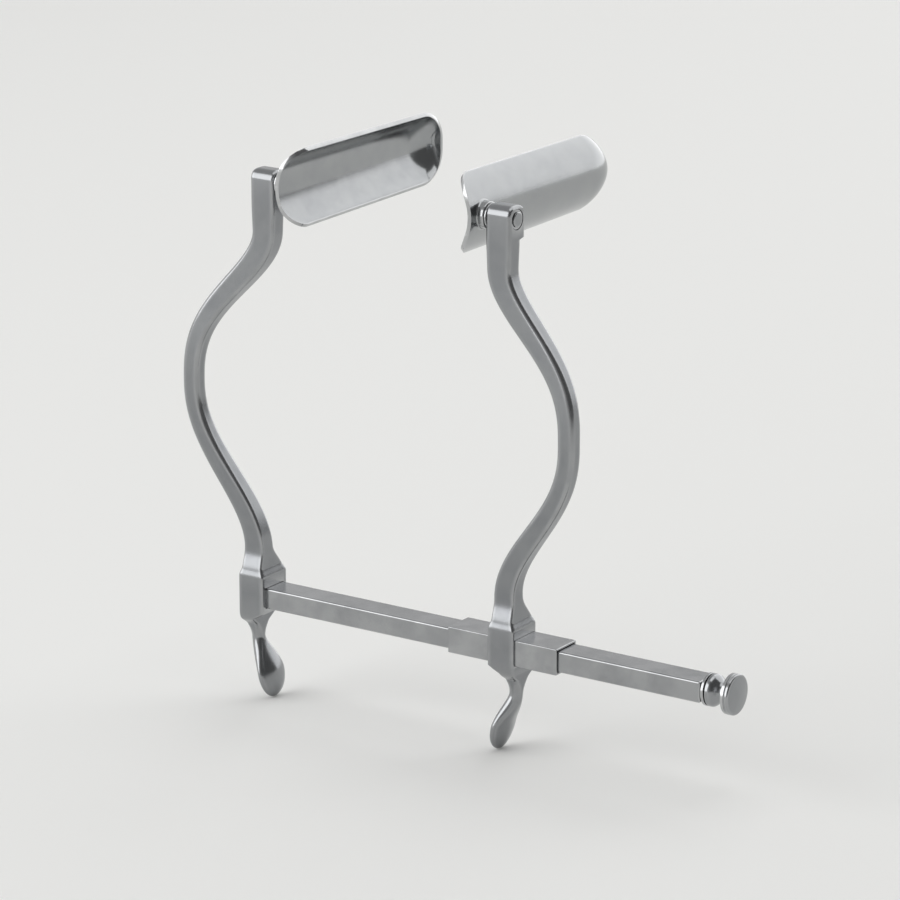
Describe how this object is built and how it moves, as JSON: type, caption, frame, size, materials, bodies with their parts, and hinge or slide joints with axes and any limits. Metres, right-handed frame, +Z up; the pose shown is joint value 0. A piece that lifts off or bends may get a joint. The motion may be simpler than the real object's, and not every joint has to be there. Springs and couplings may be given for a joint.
{
  "type": "rectal retractor",
  "caption": "Self-retaining rectal retractor: bowed fixed and sliding arms on a rectangular crossbar with an end knob, each with a swivelling trough blade.",
  "frame": {"origin": "centre of the fixed hub's flat outer end, where the crossbar's butt is flush with it, on the bar's axis", "axes": "+X along the crossbar towards its knob, +Y away from the hand towards the blade tips, +Z up the arms"},
  "size_m": [0.2232, 0.0919, 0.2004],
  "materials": {
    "forged_steel": "satin polished forging",
    "ground_steel": "ground along its length and polished",
    "mirror_steel": "mirror polished sheet",
    "turned_steel": "turned and polished"
  },
  "bodies": {
    "frame": {"fixed_arm": "forged_steel", "crossbar": "ground_steel", "stop_collar": "turned_steel", "end_knob": "turned_steel"},
    "slider": {"sliding_arm": "forged_steel", "slide_sleeve": "ground_steel"},
    "left_swivel": {"left_blade": "mirror_steel", "left_hinge_lug": "mirror_steel", "left_hinge_pin": "turned_steel", "left_spring_washer": "turned_steel", "left_outer_washer": "turned_steel"},
    "right_swivel": {"right_blade": "mirror_steel", "right_hinge_lug": "mirror_steel", "right_hinge_pin": "turned_steel", "right_spring_washer": "turned_steel", "right_outer_washer": "turned_steel"}
  },
  "joints": [
    {"name": "arm_slide", "type": "slide", "parent": "frame", "child": "slider", "axis": [1, 0, 0], "range_m": [-0.0633, 0.0552]},
    {"name": "left_blade_tilt", "type": "hinge", "parent": "frame", "child": "left_swivel", "pos_m": [0.0093, 0.0013, 0.149], "axis": [1, 0, 0], "range_deg": [-36, 36]},
    {"name": "right_blade_tilt", "type": "hinge", "parent": "slider", "child": "right_swivel", "pos_m": [0.1061, 0.0013, 0.149], "axis": [1, 0, 0], "range_deg": [-36, 36]}
  ]
}
